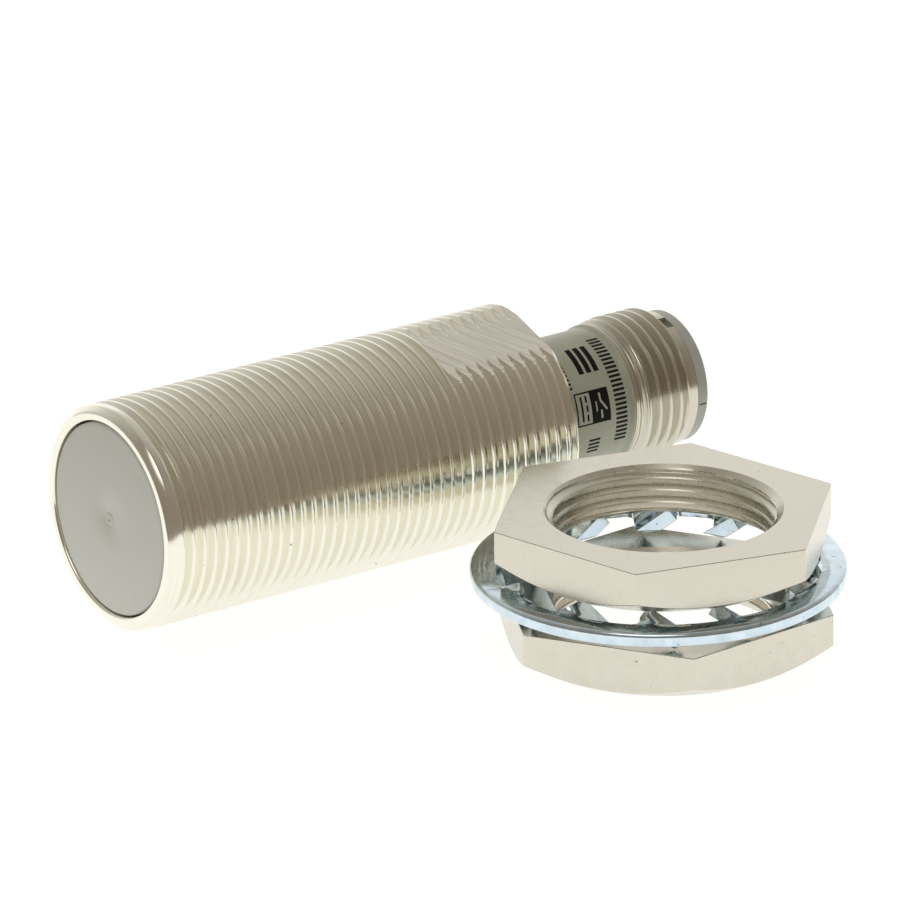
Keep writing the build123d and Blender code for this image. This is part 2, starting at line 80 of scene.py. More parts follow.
# --- sizes shared with the CAD parts -------------------------------------------------------------
PITCH = 1.0 * MM
THREAD_DEPTH = 0.61 * MM
BORE_R = 7.75 * MM
RIM_OUTER_R = 8.47 * MM
REAR_LIP_R = 6.5 * MM
REAR_LIP_T = 1.0 * MM
REAR_CHAMFER = 0.35 * MM
FLAT_ANGLE = math.radians(107.0)
FLAT_DISTANCE = 8.15 * MM
FLAT_LENGTH = 9.6 * MM
SHELL_BORE_R = 4.85 * MM
SHELL_RING_R = 5.42 * MM
NOTCH_ANGLE = math.radians(106.0)
NOTCH_W = 1.3 * MM
NOTCH_DEPTH = 0.75 * MM
NUT_AF = 24.0 * MM
NUT_CHAMFER_R = 11.3 * MM
NUT_SINK_R = 9.21 * MM
NUT_ROOT_R = 9.0 * MM
NUT_TURNS = {"upper_nut": 165.6, "lower_nut": 183.9}
WASHER_RING_R = 12.6 * MM
WASHER_TIP_R = 9.97 * MM
WASHER_T = 1.15 * MM
WASHER_TEETH = 12
TOOTH_W = 3.35 * MM
TOOTH_TWIST = math.radians(-36.0)
TOOTH_DIP = 0.35 * MM
TOOTH_TURN = math.radians(25.5)
TOOTH_BEVEL = 1.05 * MM
TOOTH_BEVEL_W = 2.0 * MM
NECK_R = 5.4 * MM
NECK_BORE_R = 4.45 * MM
FLANGE_T = 3.2 * MM


# --- materials -----------------------------------------------------------------------------------
def start_look(name, **sockets):
    """New material with a Principled shader; constants go straight onto its sockets."""
    look = bpy.data.materials.new(name)
    look.use_nodes = True
    shader = look.node_tree.nodes["Principled BSDF"]
    for socket, value in sockets.items():
        shader.inputs[socket.replace("_", " ")].default_value = value
    return look, look.node_tree, shader


def place_vector(tree, scale=(1, 1, 1), turn=(0, 0, 0)):
    """The surface point in the row frame, turned and then stretched."""
    source = tree.nodes.new("ShaderNodeTexCoord")
    turned = tree.nodes.new("ShaderNodeMapping")
    turned.inputs["Rotation"].default_value = turn
    stretched = tree.nodes.new("ShaderNodeMapping")
    stretched.inputs["Scale"].default_value = scale
    tree.links.new(source.outputs["Object"], turned.inputs["Vector"])
    tree.links.new(turned.outputs["Vector"], stretched.inputs["Vector"])
    return stretched.outputs["Vector"]


def noise(tree, vector, scale, detail=3.0):
    node = tree.nodes.new("ShaderNodeTexNoise")
    node.inputs["Scale"].default_value = scale
    node.inputs["Detail"].default_value = detail
    tree.links.new(vector, node.inputs["Vector"])
    return node.outputs["Fac"]


def ramp(tree, value, stops):
    """Colour ramp; a stop is (place, grey or colour)."""
    node = tree.nodes.new("ShaderNodeValToRGB")
    while len(node.color_ramp.elements) < len(stops):
        node.color_ramp.elements.new(0.5)
    for element, (place, colour) in zip(node.color_ramp.elements, stops):
        element.position = place
        colour = colour if isinstance(colour, tuple) else (colour,) * 3
        element.color = (*colour, 1)
    tree.links.new(value, node.inputs["Fac"])
    return node.outputs["Color"]


def blend_colour(tree, kind, share, a, b):
    """Mix node; a and b are sockets or colours, and share is a socket or a number."""
    node = tree.nodes.new("ShaderNodeMix")
    node.data_type = "RGBA"
    node.blend_type = kind
    for socket, value in ((node.inputs[0], share), (node.inputs[6], a), (node.inputs[7], b)):
        if isinstance(value, bpy.types.NodeSocket):
            tree.links.new(value, socket)
        else:
            socket.default_value = value if isinstance(value, float) else (*value, 1)
    return node.outputs[2]


def add_bump(tree, shader, height, depth, strength=1.0, under=None):
    """Bump of the given depth in metres, on top of another bump if there is one."""
    node = tree.nodes.new("ShaderNodeBump")
    node.inputs["Strength"].default_value = strength
    node.inputs["Distance"].default_value = depth
    tree.links.new(height, node.inputs["Height"])
    if under is not None:
        tree.links.new(under, node.inputs["Normal"])
    tree.links.new(node.outputs["Normal"], shader.inputs["Normal"])
    return node.outputs["Normal"]


def mottled(name, dark, light, rough=(0.3, 0.5), scale=600.0, stretch=(1, 1, 1), turn=(0, 0, 0),
            grain=4000.0, depth=2e-6, specks=0.0, speck_scale=2600.0, rare=0.74, **sockets):
    """Two close shades, uneven roughness and fine grain, all from noise; specks adds dark pits."""
    look, tree, shader = start_look(name, **sockets)
    plain = place_vector(tree)
    drawn = place_vector(tree, stretch, turn)
    patches = noise(tree, drawn, scale)
    colour = ramp(tree, patches, [(0.32, dark), (0.68, light)])
    if specks:
        pits = ramp(tree, noise(tree, plain, speck_scale, 1.0), [(rare, 0.0), (rare + 0.04, 1.0)])
        colour = blend_colour(tree, "MIX", pits, colour, tuple(c * (1 - specks) for c in dark))
    tree.links.new(colour, shader.inputs["Base Color"])
    tree.links.new(ramp(tree, patches, [(0.25, rough[0]), (0.75, rough[1])]), shader.inputs["Roughness"])
    add_bump(tree, shader, noise(tree, drawn, grain, 4.0), depth)
    return look


def winding_look(name, dark, light):
    """Rows of enamelled wire laid side by side."""
    look, tree, shader = start_look(name, Metallic=1.0, Roughness=0.3)
    wave = tree.nodes.new("ShaderNodeTexWave")
    wave.bands_direction = "X"
    wave.inputs["Scale"].default_value = 1200.0
    tree.links.new(place_vector(tree), wave.inputs["Vector"])
    tree.links.new(ramp(tree, wave.outputs["Fac"], [(0.0, dark), (0.6, light)]), shader.inputs["Base Color"])
    add_bump(tree, shader, wave.outputs["Fac"], 4e-5)
    return look


def board_look(name):
    """Green solder mask over tracks and pads."""
    look, tree, shader = start_look(name, Roughness=0.3, Coat_Weight=0.3)
    cells = tree.nodes.new("ShaderNodeTexBrick")
    cells.inputs["Scale"].default_value = 420.0
    cells.inputs["Mortar Size"].default_value = 0.06
    cells.inputs["Color1"].default_value = (0.02, 0.15, 0.06, 1)
    cells.inputs["Color2"].default_value = (0.03, 0.19, 0.08, 1)
    cells.inputs["Mortar"].default_value = (0.06, 0.30, 0.13, 1)
    tree.links.new(place_vector(tree), cells.inputs["Vector"])
    tree.links.new(cells.outputs["Color"], shader.inputs["Base Color"])
    add_bump(tree, shader, cells.outputs["Fac"], 2e-5)
    return look


def milled_look(name, dark, light):
    """Straight cutter marks that cross the two flats at a slant."""
    look, tree, shader = start_look(name, Metallic=1.0)
    source = tree.nodes.new("ShaderNodeTexCoord")
    joined = tree.nodes.new("ShaderNodeCombineXYZ")
    for axis, direction in (("X", (0.857, 0.492, 0.150)), ("Y", (0.026, -0.041, -0.0125))):
        along = tree.nodes.new("ShaderNodeVectorMath")
        along.operation = "DOT_PRODUCT"
        along.inputs[1].default_value = direction
        tree.links.new(source.outputs["Object"], along.inputs[0])
        tree.links.new(along.outputs["Value"], joined.inputs[axis])
    marks = noise(tree, joined.outputs["Vector"], 3400.0, 5.0)
    tree.links.new(ramp(tree, marks, [(0.35, dark), (0.65, light)]), shader.inputs["Base Color"])
    tree.links.new(ramp(tree, marks, [(0.3, 0.24), (0.7, 0.42)]), shader.inputs["Roughness"])
    add_bump(tree, shader, marks, 9e-6)
    return look


TURNED = (1, 0.03, 0.03)
NICKEL = mottled("nickel_turned", (0.86, 0.84, 0.74), (0.91, 0.89, 0.79), rough=(0.10, 0.18), scale=5200.0,
                 stretch=TURNED, grain=16000.0, depth=5e-7, specks=0.5, speck_scale=1900.0, rare=0.80,
                 Metallic=1.0)
# Same nickel as the barrel, darkened to about seven tenths: painted shade on the connector ring.
RING_NICKEL_PAINTED_SHADE = mottled("ring_nickel_painted_shade", (0.60, 0.575, 0.49), (0.66, 0.635, 0.55), rough=(0.14, 0.24),
                      scale=5200.0, stretch=TURNED, grain=16000.0, depth=5e-7, Metallic=1.0)
MILLED = milled_look("nickel_milled", (0.72, 0.69, 0.61), (0.94, 0.91, 0.83))
NICKEL_NUT = mottled("nickel_nut", (0.665, 0.635, 0.545), (0.715, 0.685, 0.595), rough=(0.20, 0.32),
                     scale=900.0, grain=7000.0, depth=1.0e-6, specks=0.6, speck_scale=3000.0, rare=0.77,
                     Metallic=1.0)
ZINC = mottled("zinc_blue_white", (0.56, 0.68, 0.76), (0.72, 0.83, 0.90), rough=(0.05, 0.16), scale=700.0,
               grain=900.0, depth=2.2e-5, specks=0.4, speck_scale=2200.0, Metallic=1.0)
FACE_PLASTIC = mottled("face_moulded", (0.60, 0.61, 0.555), (0.62, 0.63, 0.575), rough=(0.42, 0.55),
                       scale=500.0, grain=6000.0, depth=2e-6, specks=0.4, speck_scale=900.0, rare=0.80)
NECK_PLASTIC = mottled("neck_moulded", (0.36, 0.37, 0.29), (0.40, 0.41, 0.33), rough=(0.25, 0.36),
                       scale=400.0, grain=5000.0, depth=1.5e-6, Subsurface_Weight=0.15,
                       Subsurface_Scale=0.001)
INK = mottled("print_ink", (0.003, 0.003, 0.002), (0.007, 0.007, 0.005), rough=(0.5, 0.65), scale=3000.0,
              Specular_IOR_Level=0.15)
PALE_INK = mottled("print_gap", (0.36, 0.38, 0.31), (0.42, 0.44, 0.37), rough=(0.3, 0.45), scale=3000.0)
INSERT_GREY = mottled("insert_moulded", (0.38, 0.385, 0.34), (0.44, 0.445, 0.40), rough=(0.35, 0.5),
                      scale=500.0, grain=5000.0, depth=3e-6)
GOLD = mottled("pin_gold_flash", (0.86, 0.60, 0.24), (0.95, 0.72, 0.34), rough=(0.12, 0.24), scale=1500.0,
               Metallic=1.0)

INNER_LOOKS = {
    "ferrite_core": mottled("ferrite_sintered", (0.030, 0.030, 0.034), (0.075, 0.075, 0.08), (0.5, 0.8),
                            2500.0),
    "coil_bobbin": mottled("bobbin_moulded", (0.70, 0.67, 0.58), (0.80, 0.77, 0.69), (0.35, 0.5), 500.0),
    "coil_winding": winding_look("coil_wire", (0.30, 0.10, 0.04), (0.80, 0.38, 0.18)),
    "coil_leads": mottled("lead_enamel", (0.62, 0.28, 0.12), (0.78, 0.40, 0.20), (0.2, 0.35), 2000.0,
                          Metallic=1.0),
    "core_holder": mottled("holder_moulded", (0.016, 0.016, 0.018), (0.03, 0.03, 0.033), (0.4, 0.6), 700.0),
    "circuit_board": board_look("solder_mask"),
    "sensor_ic": mottled("ic_epoxy", (0.014, 0.014, 0.015), (0.024, 0.024, 0.026), (0.5, 0.7), 3000.0),
    "output_transistor": mottled("transistor_epoxy", (0.012, 0.012, 0.014), (0.026, 0.026, 0.028),
                                 (0.45, 0.7), 2600.0),
    "surge_diode": mottled("diode_epoxy", (0.018, 0.018, 0.018), (0.03, 0.03, 0.03), (0.5, 0.75), 2800.0),
    "chip_capacitors": mottled("capacitor_ceramic", (0.36, 0.24, 0.14), (0.50, 0.36, 0.22), (0.35, 0.55),
                               2500.0),
    "chip_resistors": mottled("resistor_film", (0.02, 0.02, 0.024), (0.05, 0.05, 0.055), (0.3, 0.5), 2500.0),
    "indicator_leds": mottled("led_epoxy", (0.80, 0.28, 0.06), (0.92, 0.42, 0.12), (0.08, 0.2), 1200.0,
                              Transmission_Weight=0.4),
    "shield_sleeve": mottled("shield_tinned", (0.62, 0.63, 0.64), (0.78, 0.79, 0.80), (0.25, 0.4), 1800.0,
                             (1, 0.05, 0.05), Metallic=1.0),
    "body_seal": mottled("seal_nitrile", (0.012, 0.012, 0.012), (0.022, 0.022, 0.022), (0.5, 0.7), 1500.0),
    "connector_seal": mottled("seal_nitrile_small", (0.012, 0.012, 0.012), (0.024, 0.024, 0.024), (0.5, 0.7),
                              1500.0),
    "contact_insert": INSERT_GREY,
    "contact_pin_1": GOLD, "contact_pin_2": GOLD, "contact_pin_3": GOLD, "contact_pin_4": GOLD,
    "lead_wire_brown": mottled("insulation_brown", (0.11, 0.045, 0.02), (0.16, 0.07, 0.035), (0.3, 0.45),
                               1500.0),
    "lead_wire_blue": mottled("insulation_blue", (0.01, 0.05, 0.28), (0.02, 0.08, 0.38), (0.3, 0.45), 1500.0),
    "potting_resin": mottled("cast_resin_grey", (0.05, 0.05, 0.046), (0.08, 0.08, 0.074), (0.2, 0.4), 500.0),
}


# --- mesh building -------------------------------------------------------------------------------
class Skin:
    """Collects grids of points and turns them into one welded mesh."""

    def __init__(self):
        self.points = []
        self.faces = []
        self.count = 0

    def add(self, points, faces):
        self.points.append(points.reshape(-1, 3))
        self.faces.append(np.asarray(faces) + self.count)
        self.count += points.reshape(-1, 3).shape[0]

    def grid(self, points, closed=True):
        """Rows by columns of points; closed joins the last column to the first."""
        rows, cols = points.shape[:2]
        i, j = np.meshgrid(np.arange(rows - 1), np.arange(cols if closed else cols - 1), indexing="ij")
        k = (j + 1) % cols
        quads = np.stack([i * cols + j, i * cols + k, (i + 1) * cols + k, (i + 1) * cols + j], -1)
        self.add(points, quads.reshape(-1, 4))

    def build(self, name, smooth_angle=40.0, weld=2e-7):
        mesh = bpy.data.meshes.new(name)
        points = np.concatenate(self.points)
        faces = np.concatenate([f for f in self.faces if len(f)])
        mesh.from_pydata(points.tolist(), [], faces.tolist())
        work = bmesh.new()
        work.from_mesh(mesh)
        bmesh.ops.remove_doubles(work, verts=work.verts, dist=weld)
        bmesh.ops.dissolve_degenerate(work, edges=work.edges, dist=weld)
        bmesh.ops.recalc_face_normals(work, faces=work.faces)
        work.to_mesh(mesh)
        work.free()
        for polygon in mesh.polygons:
            polygon.use_smooth = True
        mesh.set_sharp_from_angle(angle=math.radians(smooth_angle))
        piece = bpy.data.objects.new(name, mesh)
        bpy.context.scene.collection.objects.link(piece)
        return piece


def along_x(axial, angle, radius):
    """Points about the sensor's axis; angle runs from +Y towards +Z."""
    axial, angle, radius = np.broadcast_arrays(axial, angle, radius)
    return np.stack([axial, radius * np.cos(angle), radius * np.sin(angle)], -1)


def along_z(centre):
    """Points about an upright axis; angle runs from +X towards +Y."""
    def place(axial, angle, radius):
        axial, angle, radius = np.broadcast_arrays(axial, angle, radius)
        return np.stack([centre[0] + radius * np.cos(angle), centre[1] + radius * np.sin(angle), axial], -1)
    return place


def lathe(skin, place, columns, outline, first=None, last=None):
    """Rings of an (axial, radius) outline; first and last may give a ring with a radius for each column."""
    axial = np.array([a for a, r in outline])[:, None] + 0 * columns[None, :]
    radius = np.array([r for a, r in outline])[:, None] + 0 * columns[None, :]
    if first is not None:
        radius[0] = first
    if last is not None:
        radius[-1] = last
    skin.grid(place(axial, columns[None, :], radius))


def helix_wall(skin, place, columns, lo, hi, fractions_at, radius):
    """A threaded wall whose rows follow the helix, clipped between two axial places."""
    turns = range(math.floor(lo / PITCH) - 2, math.ceil(hi / PITCH) + 3)
    fractions = [fractions_at(k * PITCH) for k in turns]
    per_turn = len(fractions[0])
    rows = np.array([PITCH * (k + f) for k, fs in zip(turns, fractions) for f in fs])
    angle = columns[None, :]
    axial = np.clip(rows[:, None] + PITCH * angle / TAU, lo, hi)
    points = place(axial, angle, radius(axial, angle))
    count, cols = axial.shape
    i, j = np.meshgrid(np.arange(count - 1), np.arange(cols), indexing="ij")
    wrap = j == cols - 1
    side = np.where(wrap, (i + per_turn) * cols, i * cols + j + 1)
    up_side = np.where(wrap, (i + 1 + per_turn) * cols, (i + 1) * cols + j + 1)
    quads = np.stack([i * cols + j, side, up_side, (i + 1) * cols + j], -1).reshape(-1, 4)
    quads = quads[quads.max(1) < count * cols]
    heights = axial.reshape(-1)[quads]
    inside = (heights.min(1) < hi) & (heights.max(1) > lo)
    skin.add(points, quads[inside])


def smooth_step(t):
    t = np.clip(t, 0, 1)
    return t * t * (3 - 2 * t)


def to_crest(axial, angle, first):
    """Axial distance to the nearest thread crest, from 0 to half a pitch."""
    turn = ((axial - first) / PITCH - angle / TAU) % 1.0
    return np.minimum(turn, 1 - turn) * PITCH


# Distance from the crest line, and how far the surface has dropped there, as shares of pitch and depth.
RIDGE = [(0.0, 0.0), (0.08, 0.004), (0.108, 0.034), (0.41, 0.94), (0.44, 0.99), (0.5, 1.0)]
FLANK_CUTS = (0.14, 0.19, 0.24, 0.29, 0.34)


def ridge_drop(distance):
    return np.interp(distance / PITCH, [d for d, s in RIDGE], [s for d, s in RIDGE])


def ridge_rows(extra=()):
    """Fractions of a pitch at which a thread surface has rows."""
    half = sorted([d for d, s in RIDGE] + list(extra))
    return half + [1 - d for d in reversed(half[1:-1])]


def even_columns(count, extra=()):
    even = np.linspace(0, TAU, count, endpoint=False)
    return np.array(sorted(set(np.round(even, 9)) | set(np.round(extra, 9))))


# --- barrel --------------------------------------------------------------------------------------
FIRST_CREST = 1.47 * MM
THREAD_START = 0.85 * MM
SMOOTH_END = 0.62 * MM


def flat_limit(axial, angle):
    """Largest radius that the two milled flats leave."""
    front = BARREL_HI.x - FLAT_LENGTH
    rise = np.maximum(front - axial, 0) * 1.3
    turn = np.abs(np.cos(angle - FLAT_ANGLE))
    return np.where(turn > 0.75, (FLAT_DISTANCE + rise) / np.maximum(turn, 0.75), 1.0)


def barrel_radius(axial, angle):
    ridge = CREST_R - THREAD_DEPTH * ridge_drop(to_crest(axial, angle, FIRST_CREST))
    start = smooth_step((axial - THREAD_START) / (0.7 * MM))
    blank = CREST_R - 0.04 * MM
    radius = blank + (ridge - blank) * start
    end_cone = CREST_R - REAR_CHAMFER + (BARREL_HI.x - axial) * 0.8
    return np.minimum(np.minimum(radius, end_cone), flat_limit(axial, angle))


def make_barrel():
    edge = [s * math.radians(a) for a in np.arange(12.0, 26.0, 0.5) for s in (1, -1)]
    extra = [(FLAT_ANGLE + turn + e) % TAU for turn in (0, math.pi) for e in edge]
    columns = even_columns(240, extra)
    skin = Skin()
    fine_from = BARREL_HI.x - FLAT_LENGTH - 2 * PITCH
    plain = ridge_rows((0.19, 0.24, 0.29, 0.33, 0.365))
    fine = ridge_rows(FLANK_CUTS)
    helix_wall(skin, along_x, columns, SMOOTH_END, BARREL_HI.x,
               lambda place: fine if place > fine_from else plain, barrel_radius)
    x0, x1 = BARREL_LO.x, BARREL_HI.x
    rim = [(SMOOTH_END, 0), (0.38 * MM, CREST_R - 0.05 * MM), (0.30 * MM, CREST_R - 0.085 * MM)]
    rim += [(x0 + 0.10 * MM, RIM_OUTER_R + 0.09 * MM), (x0 + 0.03 * MM, RIM_OUTER_R + 0.01 * MM)]
    rim += [(x0, RIM_OUTER_R - 0.09 * MM)]
    rim += [(x0, BORE_R + 0.16 * MM), (x0 + 0.05 * MM, BORE_R + 0.07 * MM)]
    rim += [(x0 + 0.14 * MM, BORE_R + 0.03 * MM)]
    rim += [(x0 + 0.5 * MM, BORE_R), (x1 - REAR_LIP_T, BORE_R), (x1 - REAR_LIP_T, REAR_LIP_R)]
    rim += [(x1 - 0.15 * MM, REAR_LIP_R), (x1, REAR_LIP_R + 0.15 * MM), (x1, 0)]
    lathe(skin, along_x, columns, rim,
          first=barrel_radius(np.full(columns.shape, SMOOTH_END), columns),
          last=barrel_radius(np.full(columns.shape, x1), columns))
    piece = skin.build("barrel_threaded", 38)
    piece.data.materials.append(NICKEL)
    piece.data.materials.append(MILLED)
    normals = (math.cos(FLAT_ANGLE), math.sin(FLAT_ANGLE))
    for polygon in piece.data.polygons:
        n, c = polygon.normal, polygon.center
        across = abs(c.y * normals[0] + c.z * normals[1])
        if abs(n.y * normals[0] + n.z * normals[1]) > 0.995 and across < FLAT_DISTANCE + 0.02 * MM:
            polygon.material_index = 1
    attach(piece, "sensor")
    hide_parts("barrel")


# --- connector ring ------------------------------------------------------------------------------
PLUG_FIRST_CREST = 0.47 * MM


def plug_radius(axial, angle):
    ridge = PLUG_CREST_R - THREAD_DEPTH * ridge_drop(to_crest(axial, angle, PLUG_FIRST_CREST))
    start = smooth_step((axial - SHELL_LO.x - 0.10 * MM) / (1.0 * MM))
    stop = smooth_step((SHELL_HI.x - 0.90 * MM - axial) / (0.40 * MM))
    return SHELL_RING_R + (ridge - SHELL_RING_R) * start * stop


def make_connector_ring():
    skin = Skin()
    columns = even_columns(200)
    lo, hi = SHELL_LO.x + 0.2 * MM, SHELL_HI.x - 0.6 * MM
    rows = ridge_rows((0.19, 0.29, 0.365))
    helix_wall(skin, along_x, columns, lo, hi, lambda place: rows, plug_radius)
    x0, x1 = SHELL_LO.x, SHELL_HI.x
    bevel = 0.07 * MM
    ends = [(hi, SHELL_RING_R), (x1 - bevel, SHELL_RING_R), (x1, SHELL_RING_R - bevel)]
    ends += [(x1, SHELL_BORE_R + bevel), (x1 - bevel, SHELL_BORE_R), (x0, SHELL_BORE_R)]
    ends += [(x0, SHELL_RING_R - bevel), (x0 + bevel, SHELL_RING_R), (lo, SHELL_RING_R)]
    lathe(skin, along_x, columns, ends)
    piece = skin.build("connector_ring_threaded", 38)
    # The ring gets the darkened copy of the nickel, which is painted shade.
    piece.data.materials.append(RING_NICKEL_PAINTED_SHADE)
    cutter = box_mesh("notch_cutter", NOTCH_DEPTH * 2, 2 * MM, NOTCH_W)
    cutter.matrix_world = Matrix.Rotation(NOTCH_ANGLE, 4, "X") @ Matrix.Translation((x1, SHELL_RING_R, 0))
    cut(piece, cutter)
    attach(piece, "sensor")
    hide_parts("connector_shell")


def box_mesh(name, dx, dy, dz):
    """Plain box, used only as a cutting tool."""
    mesh = bpy.data.meshes.new(name)
    work = bmesh.new()
    bmesh.ops.create_cube(work, size=1.0)
    bmesh.ops.scale(work, vec=(dx, dy, dz), verts=work.verts)
    work.to_mesh(mesh)
    work.free()
    box = bpy.data.objects.new(name, mesh)
    bpy.context.scene.collection.objects.link(box)
    return box


def cut(piece, cutter):
    """Takes the cutter's shape out of a piece for good."""
    boolean = piece.modifiers.new("cut", "BOOLEAN")
    boolean.operation = "DIFFERENCE"
    boolean.solver = "EXACT"
    boolean.object = cutter
    bpy.context.view_layer.update()
    graph = bpy.context.evaluated_depsgraph_get()
    mesh = bpy.data.meshes.new_from_object(piece.evaluated_get(graph))
    piece.modifiers.clear()
    piece.data = mesh
    bpy.data.objects.remove(cutter)


# --- nuts ----------------------------------------------------------------------------------------
def hexagon(angle):
    """Radius of the hexagon, its corners turned off a little; corners at multiples of 60 degrees."""
    off = (angle % (TAU / 6)) - TAU / 12
    corner = NUT_AF / 2 / math.cos(TAU / 12)
    return np.minimum(NUT_AF / 2 / np.cos(off), corner - 0.03 * MM)


def make_nut(node):
    lo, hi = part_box(node)
    centre = ((MOUNTS["upper_nut_thread"]["pos_m"][0]), (MOUNTS["upper_nut_thread"]["pos_m"][1]))
    turn = math.radians(NUT_TURNS[node])
    corners = [k * TAU / 6 + math.radians(a) for k in range(6) for a in (-2.0, -0.9, 0, 0.9, 2.0)]
    columns = even_columns(144, [c % TAU for c in corners])
    place_at = along_z(centre)

    def place(axial, angle, radius):
        return place_at(axial, angle + turn, radius)

    bottom, top = lo.z, hi.z
    first = bottom + 0.3 * MM

    def bore_radius(axial, angle):
        drop = ridge_drop(to_crest(axial, angle, first))
        thread = NUT_BORE_R + (NUT_ROOT_R - NUT_BORE_R) * np.clip(drop * 1.25 - 0.12, 0, 1)
        sink = NUT_SINK_R - 1.1 * np.minimum(axial - bottom, top - axial)
        return np.maximum(thread, sink)

    skin = Skin()
    rows = ridge_rows((0.12, 0.16, 0.24, 0.32))
    helix_wall(skin, place, columns, bottom, top, lambda height: rows, bore_radius)
    outer = hexagon(columns)
    bevel = 0.05 * MM
    slope = math.tan(math.radians(30))
    chamfer_z = bottom + (outer - NUT_CHAMFER_R) * slope
    rings = [(np.full(columns.shape, top), np.full(columns.shape, NUT_SINK_R)),
             (np.full(columns.shape, top), outer - bevel),
             (np.full(columns.shape, top - bevel * 0.3), outer - bevel * 0.3),
             (np.full(columns.shape, top - bevel), outer),
             (chamfer_z + 0.04 * MM, outer),
             (chamfer_z - 0.02 * MM, outer - 0.03 * MM),
             (np.full(columns.shape, bottom + 0.02 * MM), np.full(columns.shape, NUT_CHAMFER_R + 0.02 * MM)),
             (np.full(columns.shape, bottom), np.full(columns.shape, NUT_CHAMFER_R - 0.03 * MM)),
             (np.full(columns.shape, bottom), np.full(columns.shape, NUT_SINK_R))]
    axial = np.stack([a for a, r in rings])
    radius = np.stack([r for a, r in rings])
    skin.grid(place(axial, columns[None, :], radius))
    piece = skin.build(node + "_machined", 16)
    piece.data.materials.append(NICKEL_NUT)
    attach(piece, node)
    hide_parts(node)


# --- washer --------------------------------------------------------------------------------------
def make_washer():
    """Plate surface in polar rows, with each tooth twisted about its own radius and rounded slot corners."""
    centre = (WASHER_LO + WASHER_HI) / 2
    outer_r = (WASHER_HI.x - WASHER_LO.x) / 2
    ring_z = WASHER_LO.z + (WASHER_HI.z - WASHER_LO.z) / 2 + TOOTH_DIP
    half_t = WASHER_T / 2
    sector = TAU / WASHER_TEETH
    corner = 0.55 * MM
    root_half = TOOTH_W / 2 + corner
    across = np.linspace(-1, 1, 13)
    gap_columns = 5
    skin = Skin()

    # ring: columns are shared by the teeth roots and the gaps between them
    tooth_angle = root_half / WASHER_RING_R
    angles = []
    for k in range(WASHER_TEETH):
        mid = TOOTH_TURN + k * sector
        angles += list(mid + across * tooth_angle)
        angles += list(np.linspace(mid + tooth_angle, mid + sector - tooth_angle, gap_columns + 1)[1:-1])
    angles = np.array(angles)
    edge = 0.34 * MM
    bulge = [(outer_r - edge, half_t)]
    bulge += [(outer_r - edge + edge * math.sin(t), half_t - edge + edge * math.cos(t))
              for t in (0.4, 0.8, 1.2, 1.5708)]
    section = [(WASHER_RING_R, half_t), (WASHER_RING_R + 0.5 * MM, half_t)] + bulge
    section += [(r, -z) for r, z in reversed(bulge)]
    section += [(WASHER_RING_R + 0.5 * MM, -half_t), (WASHER_RING_R, -half_t)]
    radius = np.array([r for r, z in section])[:, None]
    height = np.array([z for r, z in section])[:, None] + ring_z
    skin.grid(along_z(centre)(height, angles[None, :], radius))

    # teeth: closed loops of top, edge, bottom, edge, swept from the ring to the tip
    length = WASHER_RING_R - WASHER_TIP_R
    depth = np.concatenate([np.linspace(0, corner, 6), np.linspace(corner, length, 9)[1:]])
    for k in range(WASHER_TEETH):
        mid = TOOTH_TURN + k * sector
        out = np.array([math.cos(mid), math.sin(mid), 0])
        side = np.array([-math.sin(mid), math.cos(mid), 0])
        up = np.array([0, 0, 1.0])
        loops = []
        for d in depth:
            fillet = corner - math.sqrt(max(corner ** 2 - (corner - min(d, corner)) ** 2, 0))
            half = TOOTH_W / 2 + fillet
            taper = 1 - 0.05 * max(d - corner, 0) / (depth[-1] - corner)
            s = across * half * taper
            share = smooth_step(np.array(d / (0.8 * MM)))
            twist = TOOTH_TWIST * float(share)
            arc = float(1 - smooth_step(np.array(d / (0.8 * MM))))
            bow = np.sqrt(np.maximum(WASHER_RING_R ** 2 - s ** 2, 0)) - WASHER_RING_R
            reach = (WASHER_RING_R - d) + arc * bow
            if d == 0:
                reach = WASHER_RING_R * np.cos(s / WASHER_RING_R)
                s = WASHER_RING_R * np.sin(s / WASHER_RING_R)
            middle = ring_z - TOOTH_DIP * float(share)
            face = side * math.cos(twist) + up * math.sin(twist)
            normal = up * math.cos(twist) - side * math.sin(twist)
            base = np.array([centre.x, centre.y, middle])
            rows = base + np.outer(reach, out) + np.outer(s, face)
            loop = np.concatenate([rows + normal * half_t, (rows - normal * half_t)[::-1]])
            from_tip = np.hypot(loop[:, 0] - centre.x, loop[:, 1] - centre.y) - WASHER_TIP_R
            lowest = WASHER_LO.z + TOOTH_BEVEL * np.clip(1 - from_tip / TOOTH_BEVEL_W, 0, 1)
            loop[:, 2] = np.maximum(loop[:, 2], lowest)
            loops.append(loop)
        skin.grid(np.array(loops))
        tip = loops[-1]
        n = len(across)
        cap = np.stack([tip[:n], tip[n:][::-1]])
        skin.grid(cap, closed=False)

    # inner edge of the ring between the teeth
    for k in range(WASHER_TEETH):
        mid = TOOTH_TURN + k * sector
        span = np.linspace(mid + tooth_angle, mid + sector - tooth_angle, gap_columns + 1)
        wall = along_z(centre)(np.array([[ring_z + half_t], [ring_z - half_t]]), span[None, :], WASHER_RING_R)
        skin.grid(wall, closed=False)
    piece = skin.build("toothed_washer_stamped", 35, weld=2e-6)
    soften = piece.modifiers.new("edge", "BEVEL")
    soften.width = 0.09 * MM
    soften.segments = 2
    soften.limit_method = "ANGLE"
    soften.angle_limit = math.radians(50)
    piece.data.materials.append(ZINC)
    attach(piece, "washer")
    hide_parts("toothed_washer")


